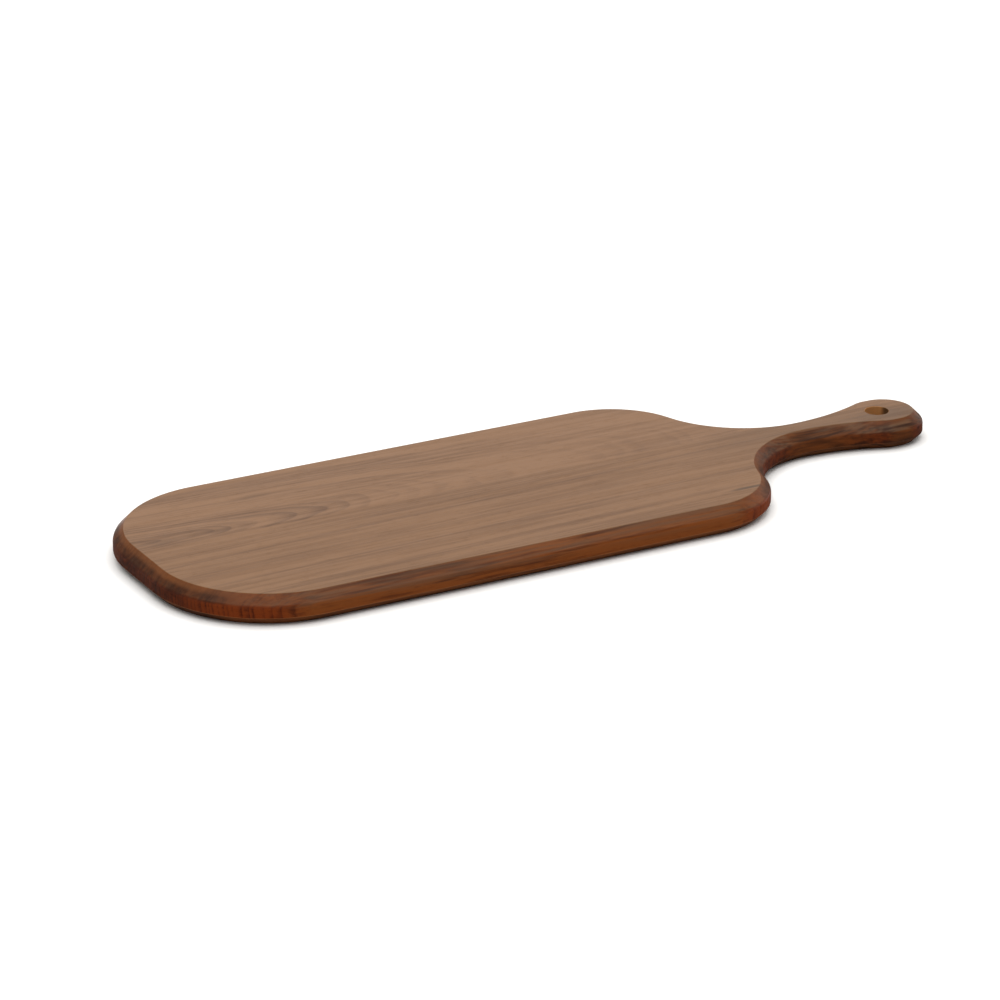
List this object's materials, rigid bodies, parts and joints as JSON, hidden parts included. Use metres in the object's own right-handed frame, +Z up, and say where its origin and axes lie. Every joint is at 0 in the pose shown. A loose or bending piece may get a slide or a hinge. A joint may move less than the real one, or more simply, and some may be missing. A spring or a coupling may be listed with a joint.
{
  "type": "paddle serving board",
  "caption": "Wooden paddle serving board: edge-glued planks with bevelled edges, a straight-sided body with round corners and a waisted handle with a hang hole.",
  "frame": {"origin": "middle of the bounding box, on the underside that the board lies on", "axes": "+X along the board towards the handle, +Y across it towards the rear plank, +Z up out of the top face"},
  "size_m": [0.572, 0.203, 0.019],
  "materials": {
    "front_plank_wood": "oiled, satin, straight grain",
    "rear_plank_wood": "oiled, satin, flat-sawn grain"
  },
  "bodies": {
    "root": {"front_plank": "front_plank_wood", "rear_plank": "rear_plank_wood"}
  },
  "joints": []
}
